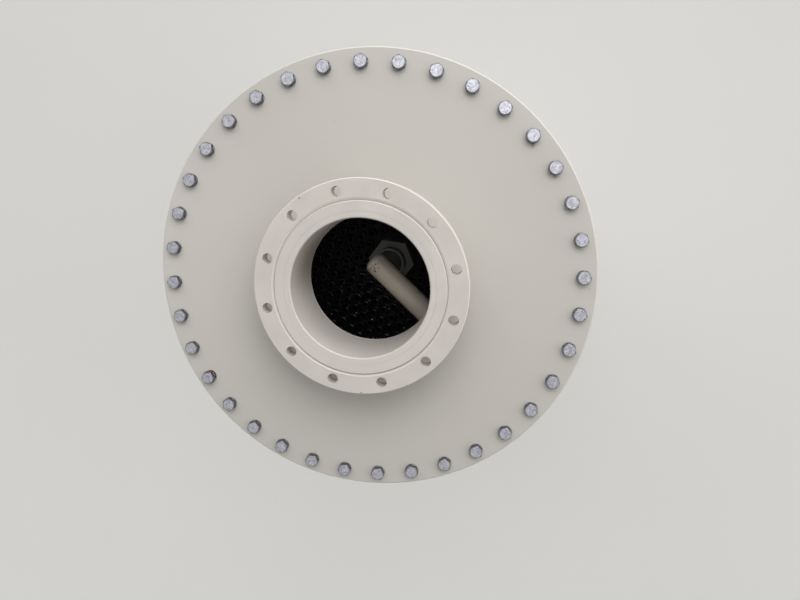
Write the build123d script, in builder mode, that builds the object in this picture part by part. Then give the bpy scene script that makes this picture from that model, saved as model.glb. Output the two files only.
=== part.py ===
"""Falling film absorber: an upright shell and tube vessel with bolted upper and lower heads.

Millimetres. +Z is up along the vessel's axis, +X points along the liquid inlet pipe.
The origin is on the axis, in the underside of the square support plate that carries the vessel.
"""

import math
import os

from build123d import *

# Body: one pipe size for both heads and the shell
body_diameter = 830.0
body_wall = 15.0
fit_gap = 0.2

# Bolted body flanges and the flat top cover
flange_width = 74.0
flange_thickness = 40.0
flange_chamfer = 2.0
body_bolt_rim = 30.5
body_bolt_count = 36
body_bolt_hole = 22.0
body_bolt_offset = 5.5
cover_thickness = 32.0
cover_chamfer = 3.0
gasket_thickness = 4.0
rim_bolt_gap = 2.5

# Heights along the axis
shell_length = 2880.0
support_drop = 960.0
upper_head_length = 385.0
lower_head_length = 450.0
tube_sheet_thickness = 60.0

# Gas inlet on the cover
gas_pipe_diameter = 315.0
gas_pipe_wall = 13.5
gas_face_height = 126.5
gas_flange_width = 65.0
gas_flange_thickness = 34.0
gas_bolt_rim = 22.5
gas_bolt_count = 12
gas_bolt_hole = 22.0
gas_bolt_offset = 26.4
gas_face_gap = 8.0

# Raised faces and edges of all nozzle flanges
raised_face_height = 3.0
face_gap = 2.5
nozzle_chamfer = 1.5
face_chamfer = 0.8
bore_chamfer = 2.0

# Liquid inlet pipe, which crosses the upper head and drips into the splash cup
liquid_pipe_diameter = 55.0
liquid_pipe_wall = 6.0
liquid_pipe_depth = 159.0
liquid_pipe_overrun = 36.0
liquid_cap_thickness = 10.0
drip_hole = 30.0
liquid_tip_radius = 16.0
liquid_flange_clearance = 1.0
liquid_flange_width = 55.0
liquid_flange_thickness = 20.0
liquid_bolt_rim = 20.0
liquid_bolt_count = 4
liquid_bolt_hole = 18.0

# Tube sheets and the film forming heads round the middle
tube_pitch = 32.0
tube_hole = 18.0
film_head_diameter = 26.0
film_head_wall = 6.5
film_head_height = 20.0
film_head_notches = 3
notch_width = 4.0
notch_depth = 6.0
film_head_ring = 3

# Centre boss, splash cup and stay bosses on the upper tube sheet
boss_corner_radius = 62.0
boss_height = 115.0
boss_turn = 36.0
cup_diameter = 80.0
cup_wall = 5.5
cup_height = 43.0
cup_floor = 6.0
stay_corner_radius = 61.0
stay_height = 24.0
stay_wall_distance = 90.0
stay_count = 4

# Cooling water nozzles on the shell
water_pipe_diameter = 90.0
water_pipe_wall = 5.0
water_neck_length = 125.0
water_flange_width = 50.0
water_flange_thickness = 20.0
water_bolt_rim = 20.0
water_bolt_count = 4
water_bolt_hole = 18.0
water_end_distance = 190.0

# Support plate and its gussets
support_plate_margin = 80.0
support_plate_thickness = 20.0
support_corner_radius = 30.0
anchor_edge = 60.0
anchor_hole = 26.0
gusset_count = 8
gusset_height = 150.0
gusset_thickness = 12.0
gusset_edge_gap = 10.0
gusset_nose = 20.0

# Tail gas outlet on the side of the lower head
tail_pipe_diameter = 225.0
tail_pipe_wall = 10.0
tail_neck_length = 175.0
tail_centre_depth = 260.0
tail_flange_width = 57.5
tail_flange_thickness = 28.0
tail_bolt_rim = 22.5
tail_bolt_count = 8
tail_bolt_hole = 22.0

# Dished end and the liquid outlet in its middle
dish_crown_radius = 800.0
dish_knuckle_radius = 90.0
dish_skirt = 25.0
dish_collar_thickness = 12.0
dish_collar_gap = 5.0
outlet_pipe_diameter = 160.0
outlet_pipe_wall = 8.0
outlet_neck_length = 130.0
outlet_flange_width = 62.5
outlet_flange_thickness = 26.0
outlet_bolt_rim = 22.5
outlet_bolt_count = 8
outlet_bolt_hole = 22.0

# Levels and radii that follow from the sizes above
body_radius = body_diameter / 2
body_bore_radius = body_radius - body_wall
flange_diameter = body_diameter + 2 * flange_width
body_bolt_circle = flange_diameter - 2 * body_bolt_rim
gas_pipe_bore = gas_pipe_diameter - 2 * gas_pipe_wall
film_head_bore = film_head_diameter - 2 * film_head_wall
cup_bore = cup_diameter - 2 * cup_wall
stay_circle_radius = body_bore_radius - stay_wall_distance
support_plate_width = body_diameter + 2 * support_plate_margin
anchor_spacing = support_plate_width - 2 * anchor_edge
gusset_reach = support_plate_margin - gusset_edge_gap
liquid_face_radius = flange_diameter / 2 + liquid_flange_clearance + liquid_flange_thickness
water_face_radius = body_radius + water_neck_length
tail_face_radius = body_radius + tail_neck_length
sheet_radius = (body_bolt_circle - body_bolt_hole) / 2 - rim_bolt_gap
shell_top = support_drop
shell_bottom = shell_top - shell_length
upper_sheet_top = shell_top + tube_sheet_thickness
upper_head_bottom = upper_sheet_top + gasket_thickness
upper_head_top = upper_head_bottom + upper_head_length
cover_bottom = upper_head_top + gasket_thickness
cover_top = cover_bottom + cover_thickness
gas_face = cover_top + gas_face_height
liquid_level = cover_top - liquid_pipe_depth
lower_sheet_bottom = shell_bottom - tube_sheet_thickness
lower_head_top = lower_sheet_bottom - gasket_thickness
lower_head_bottom = lower_head_top - lower_head_length
tail_level = lower_head_top - tail_centre_depth
water_outlet_level = shell_top - water_end_distance
water_inlet_level = shell_bottom + water_end_distance


def facing_out(radius, level, direction):
    """Plane of a side nozzle's face: its Z axis points away from the vessel along +X or -X."""
    return Plane(origin=(direction * radius, 0, level), x_dir=(0, direction, 0), z_dir=(direction, 0, 0))


def plain_ring(bottom, height, outer_radius, inner_radius):
    """A flat ring about the vessel's axis, such as a gasket."""
    with BuildPart() as ring:
        with BuildSketch(Plane.XY.offset(bottom)):
            Circle(outer_radius)
            Circle(inner_radius, mode=Mode.SUBTRACT)
        extrude(amount=height)
    return ring.part


def body_bolt_holes(bottom, height):
    """Cuts the bolt holes of the body flanges as hexagons, which washers and nuts cover."""
    with BuildSketch(Plane.XY.offset(bottom)) as holes:
        with PolarLocations(body_bolt_circle / 2, body_bolt_count, start_angle=body_bolt_offset):
            RegularPolygon(body_bolt_hole / 2, 6, major_radius=False)
    extrude(holes.sketch, amount=height, mode=Mode.SUBTRACT)


def body_flange(bottom):
    """A slip-on flange round the end of the shell or of a head."""
    with BuildPart() as flange:
        with BuildSketch(Plane.XY.offset(bottom)):
            Circle(flange_diameter / 2)
        extrude(amount=flange_thickness)
        chamfer(flange.edges().filter_by(GeomType.CIRCLE), flange_chamfer)
        with BuildSketch(Plane.XY.offset(bottom)):
            Circle(body_radius + fit_gap)
        extrude(amount=flange_thickness, mode=Mode.SUBTRACT)
        body_bolt_holes(bottom, flange_thickness)
    return flange.part


def nozzle_flange(face, width, thickness, gap, bolt_rim, count, hole, offset, pipe_diameter):
    """A slip-on nozzle flange whose raised face lies in the plane given.

    The width is from the pipe to the rim, and the gap from the raised face to the bolt holes.
    """
    radius = pipe_diameter / 2 + width
    bolt_radius = radius - bolt_rim
    with BuildPart() as flange:
        with BuildSketch(face.offset(-raised_face_height)):
            Circle(radius)
        extrude(amount=raised_face_height - thickness)
        chamfer(flange.edges().filter_by(GeomType.CIRCLE), nozzle_chamfer)
        with BuildSketch(face.offset(-raised_face_height)):
            Circle(bolt_radius - hole / 2 - gap)
        extrude(amount=raised_face_height)
        top_face = flange.faces().sort_by(Axis(face.origin, face.z_dir))[-1]
        chamfer(top_face.edges(), face_chamfer)
        with BuildSketch(face):
            Circle(pipe_diameter / 2 + fit_gap)
            with PolarLocations(bolt_radius, count, start_angle=offset):
                Circle(hole / 2)
        extrude(amount=-thickness, mode=Mode.SUBTRACT)
    return flange.part


def side_neck(face, length, diameter, wall, body_cut_radius):
    """A pipe from a side nozzle's face to the inside of the round body wall."""
    with BuildPart() as neck:
        with BuildSketch(face):
            Circle(diameter / 2)
            Circle(diameter / 2 - wall, mode=Mode.SUBTRACT)
        extrude(amount=-length)
        with BuildSketch(Plane.XY.offset(face.origin.Z - diameter)):
            Circle(body_cut_radius)
        extrude(amount=2 * diameter, mode=Mode.SUBTRACT)
    return neck.part


def side_hole(face, length, diameter):
    """Cuts the round hole in a body wall that a side pipe passes through."""
    with BuildSketch(face) as hole:
        Circle(diameter / 2 + fit_gap)
    extrude(hole.sketch, amount=-length, mode=Mode.SUBTRACT)


# Gas inlet: a pipe through the cover, its bore broken at both ends, and its flange
with BuildPart() as gas_inlet_neck:
    with BuildSketch(Plane.XY.offset(cover_bottom)):
        Circle(gas_pipe_diameter / 2)
        Circle(gas_pipe_bore / 2, mode=Mode.SUBTRACT)
    extrude(amount=gas_face - cover_bottom)
    bore_edges = gas_inlet_neck.edges().filter_by(GeomType.CIRCLE).sort_by(SortBy.RADIUS)[:2]
    chamfer(bore_edges, bore_chamfer)

gas_inlet_flange = nozzle_flange(
    Plane.XY.offset(gas_face), gas_flange_width, gas_flange_thickness, gas_face_gap,
    gas_bolt_rim, gas_bolt_count, gas_bolt_hole, gas_bolt_offset, gas_pipe_diameter,
)

with BuildPart() as top_cover:
    with BuildSketch(Plane.XY.offset(cover_bottom)):
        Circle(flange_diameter / 2)
    extrude(amount=cover_thickness)
    chamfer(top_cover.edges().sort_by(Axis.Z)[-1], cover_chamfer)
    with BuildSketch(Plane.XY.offset(cover_bottom)):
        Circle(gas_pipe_diameter / 2 + fit_gap)
    extrude(amount=cover_thickness, mode=Mode.SUBTRACT)
    body_bolt_holes(cover_bottom, cover_thickness)

cover_gasket = plain_ring(upper_head_top, gasket_thickness, sheet_radius, body_bore_radius)

# Upper head
liquid_face = facing_out(liquid_face_radius, liquid_level, 1)
upper_head_top_flange = body_flange(upper_head_top - flange_thickness)
upper_head_bottom_flange = body_flange(upper_head_bottom)

with BuildPart() as upper_head_barrel:
    with BuildSketch(Plane.XY.offset(upper_head_bottom)):
        Circle(body_radius)
        Circle(body_bore_radius, mode=Mode.SUBTRACT)
    extrude(amount=upper_head_length)
    side_hole(liquid_face, liquid_face_radius, liquid_pipe_diameter)

with BuildPart() as liquid_inlet_pipe:
    with BuildSketch(liquid_face):
        Circle(liquid_pipe_diameter / 2)
    extrude(amount=-(liquid_face_radius + liquid_pipe_overrun))
    fillet(liquid_inlet_pipe.edges().sort_by(Axis.X)[0], liquid_tip_radius)
    with BuildSketch(liquid_face):
        Circle(liquid_pipe_diameter / 2 - liquid_pipe_wall)
    extrude(amount=-(liquid_face_radius + liquid_pipe_overrun - liquid_cap_thickness), mode=Mode.SUBTRACT)
    with BuildSketch(Plane.XY.offset(liquid_level)):
        Circle(drip_hole / 2)
    extrude(amount=-liquid_pipe_diameter, mode=Mode.SUBTRACT)

liquid_inlet_flange = nozzle_flange(
    liquid_face, liquid_flange_width, liquid_flange_thickness, face_gap,
    liquid_bolt_rim, liquid_bolt_count, liquid_bolt_hole, 180 / liquid_bolt_count, liquid_pipe_diameter,
)

# Tube holes of the ring of film heads nearest the centre boss: one hexagon of the tube lattice
tube_ring = [
    Vector(film_head_ring * tube_pitch, 0).rotate(Axis.Z, 60 * side)
    + Vector(step * tube_pitch, 0).rotate(Axis.Z, 60 * side + 120)
    for side in range(6)
    for step in range(film_head_ring)
]
tube_ring = [(point.X, point.Y) for index, point in enumerate(tube_ring) if index % film_head_ring != 1]


def tube_sheet(bottom, hole):
    """A tube sheet clamped inside the bolts of two body flanges."""
    with BuildPart() as sheet:
        with BuildSketch(Plane.XY.offset(bottom)):
            Circle(sheet_radius)
            with Locations(*tube_ring):
                Circle(hole / 2, mode=Mode.SUBTRACT)
        extrude(amount=tube_sheet_thickness)
    return sheet.part


upper_tube_sheet_gasket = plain_ring(upper_sheet_top, gasket_thickness, sheet_radius, body_bore_radius)
upper_tube_sheet = tube_sheet(shell_top, tube_hole)

with BuildPart() as film_heads:
    with BuildSketch(Plane.XY.offset(upper_sheet_top)):
        with Locations(*tube_ring):
            Circle(film_head_diameter / 2)
            Circle(film_head_bore / 2, mode=Mode.SUBTRACT)
    extrude(amount=film_head_height)
    with BuildSketch(Plane.XY.offset(upper_sheet_top + film_head_height)):
        with Locations(*tube_ring):
            with PolarLocations((film_head_diameter - film_head_wall) / 2, film_head_notches):
                Rectangle(2 * film_head_wall, notch_width)
    extrude(amount=-notch_depth, mode=Mode.SUBTRACT)

with BuildPart() as centre_boss:
    with BuildSketch(Plane.XY.offset(upper_sheet_top)):
        RegularPolygon(boss_corner_radius, 6, rotation=boss_turn)
    extrude(amount=boss_height)

with BuildPart() as splash_cup:
    with BuildSketch(Plane.XY.offset(upper_sheet_top + boss_height)):
        Circle(cup_diameter / 2)
    extrude(amount=cup_height)
    with BuildSketch(Plane.XY.offset(upper_sheet_top + boss_height + cup_floor)):
        Circle(cup_bore / 2)
    extrude(amount=cup_height, mode=Mode.SUBTRACT)

with BuildPart() as stay_bosses:
    with BuildSketch(Plane.XY.offset(upper_sheet_top)):
        with PolarLocations(stay_circle_radius, stay_count, start_angle=180 / stay_count, rotate=False):
            RegularPolygon(stay_corner_radius, 6, rotation=boss_turn)
    extrude(amount=stay_height)

# Shell with its flanges and cooling water nozzles
water_outlet_face = facing_out(water_face_radius, water_outlet_level, -1)
water_inlet_face = facing_out(water_face_radius, water_inlet_level, 1)
shell_top_flange = body_flange(shell_top - flange_thickness)
shell_bottom_flange = body_flange(shell_bottom)

with BuildPart() as shell:
    with BuildSketch(Plane.XY.offset(shell_bottom)):
        Circle(body_radius)
        Circle(body_bore_radius, mode=Mode.SUBTRACT)
    extrude(amount=shell_length)
    side_hole(water_outlet_face, water_face_radius, water_pipe_diameter)
    side_hole(water_inlet_face, water_face_radius, water_pipe_diameter)


def water_flange(face):
    """One flange of the cooling water nozzles."""
    return nozzle_flange(
        face, water_flange_width, water_flange_thickness, face_gap,
        water_bolt_rim, water_bolt_count, water_bolt_hole, 180 / water_bolt_count, water_pipe_diameter,
    )


def water_neck(face):
    """One pipe of the cooling water nozzles."""
    return side_neck(face, water_face_radius, water_pipe_diameter, water_pipe_wall, body_bore_radius)


cooling_water_outlet_flange = water_flange(water_outlet_face)
cooling_water_outlet_neck = water_neck(water_outlet_face)
cooling_water_inlet_flange = water_flange(water_inlet_face)
cooling_water_inlet_neck = water_neck(water_inlet_face)

# Support plate with gussets that stand on it against the shell
with BuildPart() as support_plate:
    with BuildSketch(Plane.XY):
        RectangleRounded(support_plate_width, support_plate_width, support_corner_radius)
        Circle(body_radius + fit_gap, mode=Mode.SUBTRACT)
        with GridLocations(anchor_spacing, anchor_spacing, 2, 2):
            Circle(anchor_hole / 2, mode=Mode.SUBTRACT)
    extrude(amount=support_plate_thickness)

with BuildPart() as gusset:
    with BuildSketch(Plane.XZ):
        with BuildLine():
            Polyline(
                (body_radius + fit_gap, support_plate_thickness),
                (body_radius + gusset_reach, support_plate_thickness),
                (body_radius + gusset_reach, support_plate_thickness + gusset_nose),
                (body_radius + gusset_nose, support_plate_thickness + gusset_height),
                (body_radius + fit_gap, support_plate_thickness + gusset_height),
                close=True,
            )
        make_face()
    extrude(amount=gusset_thickness / 2, both=True)

with BuildPart() as support_gussets:
    with PolarLocations(0, gusset_count, start_angle=180 / gusset_count):
        add(gusset.part)

# Lower tube sheet and lower head
lower_tube_sheet = tube_sheet(lower_sheet_bottom, tube_hole)
lower_tube_sheet_gasket = plain_ring(lower_head_top, gasket_thickness, sheet_radius, body_bore_radius)
lower_head_top_flange = body_flange(lower_head_top - flange_thickness)

tail_face = facing_out(tail_face_radius, tail_level, -1)

with BuildPart() as lower_head_barrel:
    with BuildSketch(Plane.XY.offset(lower_head_bottom)):
        Circle(body_radius)
        Circle(body_bore_radius, mode=Mode.SUBTRACT)
    extrude(amount=lower_head_length)
    side_hole(tail_face, tail_face_radius, tail_pipe_diameter)

tail_gas_outlet_neck = side_neck(
    tail_face, tail_face_radius, tail_pipe_diameter, tail_pipe_wall, body_bore_radius
)
tail_gas_outlet_flange = nozzle_flange(
    tail_face, tail_flange_width, tail_flange_thickness, face_gap,
    tail_bolt_rim, tail_bolt_count, tail_bolt_hole, 180 / tail_bolt_count, tail_pipe_diameter,
)

# Dished end: skirt, knuckle and crown, the outside parallel to the inside
knuckle_centre = body_radius - dish_knuckle_radius
crown_drop = math.sqrt((dish_crown_radius - dish_knuckle_radius) ** 2 - knuckle_centre**2)
knuckle_level = lower_head_bottom - dish_skirt
crown_centre = knuckle_level + crown_drop
dish_bottom = crown_centre - dish_crown_radius


def dish_outline(inset):
    """Points of the dish moved in by the inset: skirt end, knuckle middle, junction, crown middle, pole."""
    knuckle = dish_knuckle_radius - inset
    crown = dish_crown_radius - inset
    junction_angle = math.atan2(-crown_drop, knuckle_centre)
    middle_angle = junction_angle / 2
    skirt = (body_radius - inset, knuckle_level)
    middle = (
        knuckle_centre + knuckle * math.cos(middle_angle),
        knuckle_level + knuckle * math.sin(middle_angle),
    )
    junction = (
        knuckle_centre + knuckle * math.cos(junction_angle),
        knuckle_level + knuckle * math.sin(junction_angle),
    )
    pole = (0, crown_centre - crown)
    crown_middle_angle = (junction_angle - math.pi / 2) / 2
    crown_middle = (
        crown * math.cos(crown_middle_angle),
        crown_centre + crown * math.sin(crown_middle_angle),
    )
    return skirt, middle, junction, crown_middle, pole


outer = dish_outline(0)
inner = dish_outline(body_wall)

with BuildPart() as lower_dished_end:
    with BuildSketch(Plane.XZ):
        with BuildLine():
            Polyline(
                (body_radius, lower_head_bottom),
                (body_radius + dish_collar_thickness, lower_head_bottom),
                (body_radius + dish_collar_thickness, knuckle_level + dish_collar_gap),
                (body_radius, knuckle_level + dish_collar_gap),
                outer[0],
            )
            ThreePointArc(outer[0], outer[1], outer[2])
            ThreePointArc(outer[2], outer[3], outer[4])
            Line(outer[4], inner[4])
            Polyline(*reversed(inner))
            Line(inner[0], (body_bore_radius, lower_head_bottom))
            Line((body_bore_radius, lower_head_bottom), (body_radius, lower_head_bottom))
        make_face()
    revolve(axis=Axis.Z)
    with BuildSketch(Plane.XY.offset(dish_bottom - body_wall)):
        Circle(outlet_pipe_diameter / 2 + fit_gap)
    extrude(amount=lower_head_length, mode=Mode.SUBTRACT)

# Liquid outlet in the middle of the dished end
outlet_face_level = dish_bottom - outlet_neck_length
outlet_face = Plane(origin=(0, 0, outlet_face_level), x_dir=(1, 0, 0), z_dir=(0, 0, -1))
outlet_top = dish_bottom + body_wall

liquid_outlet_neck = plain_ring(
    outlet_face_level, outlet_top - outlet_face_level,
    outlet_pipe_diameter / 2, outlet_pipe_diameter / 2 - outlet_pipe_wall,
)
liquid_outlet_flange = nozzle_flange(
    outlet_face, outlet_flange_width, outlet_flange_thickness, face_gap,
    outlet_bolt_rim, outlet_bolt_count, outlet_bolt_hole, 180 / outlet_bolt_count, outlet_pipe_diameter,
)

pieces = {
    "gas_inlet_flange": gas_inlet_flange,
    "gas_inlet_neck": gas_inlet_neck.part,
    "top_cover": top_cover.part,
    "cover_gasket": cover_gasket,
    "upper_head_top_flange": upper_head_top_flange,
    "upper_head_barrel": upper_head_barrel.part,
    "liquid_inlet_pipe": liquid_inlet_pipe.part,
    "liquid_inlet_flange": liquid_inlet_flange,
    "upper_head_bottom_flange": upper_head_bottom_flange,
    "upper_tube_sheet_gasket": upper_tube_sheet_gasket,
    "upper_tube_sheet": upper_tube_sheet,
    "film_heads": film_heads.part,
    "centre_boss": centre_boss.part,
    "splash_cup": splash_cup.part,
    "stay_bosses": stay_bosses.part,
    "shell_top_flange": shell_top_flange,
    "shell": shell.part,
    "cooling_water_outlet_neck": cooling_water_outlet_neck,
    "cooling_water_outlet_flange": cooling_water_outlet_flange,
    "cooling_water_inlet_neck": cooling_water_inlet_neck,
    "cooling_water_inlet_flange": cooling_water_inlet_flange,
    "support_plate": support_plate.part,
    "support_gussets": support_gussets.part,
    "shell_bottom_flange": shell_bottom_flange,
    "lower_tube_sheet": lower_tube_sheet,
    "lower_tube_sheet_gasket": lower_tube_sheet_gasket,
    "lower_head_top_flange": lower_head_top_flange,
    "lower_head_barrel": lower_head_barrel.part,
    "tail_gas_outlet_neck": tail_gas_outlet_neck,
    "tail_gas_outlet_flange": tail_gas_outlet_flange,
    "lower_dished_end": lower_dished_end.part,
    "liquid_outlet_neck": liquid_outlet_neck,
    "liquid_outlet_flange": liquid_outlet_flange,
}

os.makedirs("parts", exist_ok=True)
for name, piece in pieces.items():
    piece.label = name
    export_step(piece, f"parts/{name}.step")
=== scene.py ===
"""Falling film absorber: the finishes of the vessel, its bolts, tube field and welds, and a plain studio.

Metres. +Z is up along the vessel's axis and +X points along the liquid inlet pipe, as in the frame.
"""

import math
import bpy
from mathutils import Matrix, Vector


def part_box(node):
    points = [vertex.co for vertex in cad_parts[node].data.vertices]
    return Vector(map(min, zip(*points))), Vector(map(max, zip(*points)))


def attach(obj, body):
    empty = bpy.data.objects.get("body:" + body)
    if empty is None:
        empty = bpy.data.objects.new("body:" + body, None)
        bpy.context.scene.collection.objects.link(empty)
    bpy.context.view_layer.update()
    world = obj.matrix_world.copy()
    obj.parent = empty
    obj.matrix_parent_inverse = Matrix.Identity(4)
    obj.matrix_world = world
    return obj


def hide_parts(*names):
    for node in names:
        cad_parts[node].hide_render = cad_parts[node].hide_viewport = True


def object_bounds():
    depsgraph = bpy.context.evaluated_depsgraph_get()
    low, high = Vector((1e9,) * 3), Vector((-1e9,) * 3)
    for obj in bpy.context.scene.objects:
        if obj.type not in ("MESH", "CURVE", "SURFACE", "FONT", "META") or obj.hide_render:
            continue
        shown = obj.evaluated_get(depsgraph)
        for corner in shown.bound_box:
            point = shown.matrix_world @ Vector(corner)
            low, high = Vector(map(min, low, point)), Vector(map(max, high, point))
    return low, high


bl_info = {
    "name": "Falling film absorber",
    "version": (1, 0, 0),
    "blender": (4, 5, 0),
    "location": "View3D > Sidebar > Absorber",
    "description": "Finishes a bolted polypropylene absorber and sets it in a plain studio",
    "category": "Object",
}

import bmesh
import bpy
from bpy.props import FloatProperty, FloatVectorProperty, IntProperty, PointerProperty
from mathutils import Matrix, Vector

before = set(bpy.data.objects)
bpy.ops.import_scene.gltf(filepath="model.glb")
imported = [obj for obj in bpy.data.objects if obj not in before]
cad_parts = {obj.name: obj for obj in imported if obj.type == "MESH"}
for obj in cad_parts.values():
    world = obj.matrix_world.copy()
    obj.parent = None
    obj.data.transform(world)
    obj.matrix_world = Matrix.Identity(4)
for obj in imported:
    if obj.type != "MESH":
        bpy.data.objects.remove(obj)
cad_box = [list(corner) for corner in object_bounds()]

BODY = "root"
ALONG_X = (1.0, 0.0, 0.0)
ALONG_Z = (0.0, 0.0, 1.0)

# Height of a raised face over the rest of its flange
RAISED_FACE = 0.003
# Width of the splash cup's rim that the painted shade in its bore leaves clear
UNSHADED_RIM = 0.0045
GUSSETS = 8
STAY_AZIMUTHS = (45, 135, 225, 315)

POLYPROPYLENE_IOR = 1.49
# Cosines between the axis of a plate and the slope of its broken edge, which is painted paler as a painted
# highlight
EDGE_HIGHLIGHT_SLOPE = (0.45, 0.90)
# Tool marks are about 0.3 mm apart, which is too fine to show, so they are drawn 2.5 mm apart
TOOL_MARKS = 0.0025
# Cutter marks are about 0.5 mm apart, which is too fine to show. A wave of this size repeats every 2 mm
CUTTER_MARKS = 0.006
# The crystals of a zinc plating are too fine to show, so they are drawn 3.5 mm wide
CRYSTALS = 0.0035
# Pale specks, which are painted glints, are drawn 4 mm wide, in the middle of cells of this size
GLINT_CELLS = 0.022
# Width of the noise that makes the edge of a patch ragged
RAGGED_GRAIN = 0.0025
# Half size of a patch that has no end in one direction
ENDLESS = 10.0

# Points of the rings that welds follow, and sides of round pieces
BODY_RING = 180
SADDLE_RING = 96
NECK_RING = 72
PLATE_RIM = 144
BOLT_SIDES = 24
HOLE_SIDES = 12
TUBE_SIDES = 10
BEAD_SIDES = 8
RIPPLE_POINTS = 4

CREAM_NODES = ("upper_head_barrel", "shell", "support_gussets", "lower_head_barrel", "lower_dished_end")
GASKET_NODES = ("cover_gasket", "upper_tube_sheet_gasket", "lower_tube_sheet_gasket")
BOSS_NODES = ("centre_boss", "stay_bosses")
PLATE_NODES = (
    "upper_head_top_flange", "upper_head_bottom_flange", "shell_top_flange", "shell_bottom_flange",
    "lower_head_top_flange", "support_plate",
)

# Nozzles: flange, pipe, the axis that the flange's face looks along and which way, and the width of the step
# from the rim to the raised face
NOZZLES = (
    ("gas_inlet_flange", "gas_inlet_neck", ALONG_Z, 1, 0.0415),
    ("liquid_inlet_flange", "liquid_inlet_pipe", ALONG_X, 1, 0.0315),
    ("cooling_water_outlet_flange", "cooling_water_outlet_neck", ALONG_X, -1, 0.0315),
    ("cooling_water_inlet_flange", "cooling_water_inlet_neck", ALONG_X, 1, 0.0315),
    ("tail_gas_outlet_flange", "tail_gas_outlet_neck", ALONG_X, -1, 0.0360),
    ("liquid_outlet_flange", "liquid_outlet_neck", ALONG_Z, -1, 0.0360),
)
SMALL_NOZZLES = NOZZLES[1:4]
TAIL_GAS_NOZZLE = NOZZLES[4]


def linear(hex_colour):
    """An sRGB hex colour as the linear values that a colour socket takes."""
    channels = [int(hex_colour[start:start + 2], 16) / 255 for start in (1, 3, 5)]
    return [c / 12.92 if c <= 0.04045 else ((c + 0.055) / 1.055) ** 2.4 for c in channels] + [1.0]


def toned(colour, factor):
    """The colour made lighter or darker by a factor."""
    return [min(1.0, channel * factor) for channel in list(colour)[:3]] + [1.0]


def size(name, millimetres, description):
    """A length that a user can change."""
    return FloatProperty(
        name=name, description=description, default=millimetres / 1000, min=0.0, precision=4, unit="LENGTH"
    )


def distance(name, metres, description):
    """A length of the studio that a user can change."""
    return FloatProperty(name=name, description=description, default=metres, unit="LENGTH")


def angle(name, degrees, description):
    """An angle that a user can change."""
    return FloatProperty(name=name, description=description, default=math.radians(degrees), unit="ROTATION")


def amount(name, default, description):
    """A plain number that a user can change."""
    return FloatProperty(name=name, description=description, default=default, min=0.0)


def whole(name, default, description, least=0):
    """A whole number that a user can change."""
    return IntProperty(name=name, description=description, default=default, min=least)


def point(name, place, description):
    """A place that a user can change."""
    return FloatVectorProperty(
        name=name, description=description, default=place, size=3, subtype="TRANSLATION"
    )


def paint(name, hex_colour, description):
    """A colour that a user can change."""
    return FloatVectorProperty(
        name=name, description=description, default=linear(hex_colour), size=4, min=0.0, max=1.0,
        subtype="COLOR",
    )


class AbsorberBolts(bpy.types.PropertyGroup):
    """Hexagon bolts of the three body joints."""

    circle: size("Bolt circle", 917.0, "Diameter of the circle through the bolts")
    count: whole("Bolts", 36, "Bolts in each joint", 3)
    first: angle("First bolt", 5.5, "Angle from the liquid inlet to the first bolt")
    across_flats: size("Across flats", 27.0, "Width of the hexagon head and nut")
    head_height: size("Head height", 11.5, "Height of the head")
    nut_height: size("Nut height", 15.0, "Height of the nut")
    washer: size("Washer", 30.0, "Outer diameter of the washers")
    washer_thickness: size("Washer thickness", 3.0, "Thickness of the washers")
    shank: size("Shank", 18.0, "Diameter of the shank and thread")
    thread_pitch: size("Thread pitch", 2.5, "Height of one turn of the thread")
    thread_turns: whole("Thread turns", 5, "Turns past the nut")
    seed: whole("Turn seed", 7, "Seed of the random turn of each bolt")


class AbsorberGroove(bpy.types.PropertyGroup):
    """V groove that is turned round the raised face of the gas inlet's flange."""

    radius: size("Groove radius", 179.8, "Radius of the bottom of the groove")
    inner_slope: size("Inner slope", 3.0, "Width of the slope to the raised face, seen from above")
    outer_slope: size("Outer slope", 4.6, "Width of the slope to the outer face, seen from above")
    depth: size("Groove depth", 3.0, "Depth below the flange's outer face")


class AbsorberTubes(bpy.types.PropertyGroup):
    """Tube field with a film forming head over each tube."""

    pitch: size("Pitch", 32.0, "Distance between neighbouring tubes")
    field: size("Field radius", 372.0, "Radius of the circle that the tubes fill")
    centre_gap: size("Centre gap", 74.0, "Least distance of a tube from the vessel's axis")
    stay_circle: size("Stay boss circle", 310.0, "Distance of the stay bosses from the axis")
    stay_gap: size("Stay boss gap", 74.0, "Least distance of a tube from a stay boss")
    hole: size("Hole", 18.0, "Diameter of the holes in the tube sheets")
    tube: size("Tube", 22.0, "Outer diameter of the tubes")
    head: size("Film head", 26.0, "Outer diameter of a film forming head")
    head_bore: size("Film head bore", 13.0, "Bore of a film forming head")
    head_height: size("Film head height", 20.0, "Height of a film forming head")
    notch_width: size("Notch width", 4.0, "Width of the notches that let the film over the rim")
    notch_depth: size("Notch depth", 6.0, "Depth of the notches")
    seed: whole("Turn seed", 3, "Seed of the random turn of each head")


class AbsorberWelds(bpy.types.PropertyGroup):
    """Hot gas weld beads."""

    body_bead: size("Body bead", 5.0, "Radius of the beads on the body and the large necks")
    neck_bead: size("Neck bead", 3.5, "Radius of the beads on small necks and gussets")
    seam_rise: size("Seam rise", 1.2, "Height of the butt seams over the sheet")
    ripple: size("Ripple", 9.0, "Distance between two ripples of a bead")
    ripple_share: amount("Ripple share", 0.09, "Part of the radius that a ripple takes")


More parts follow.
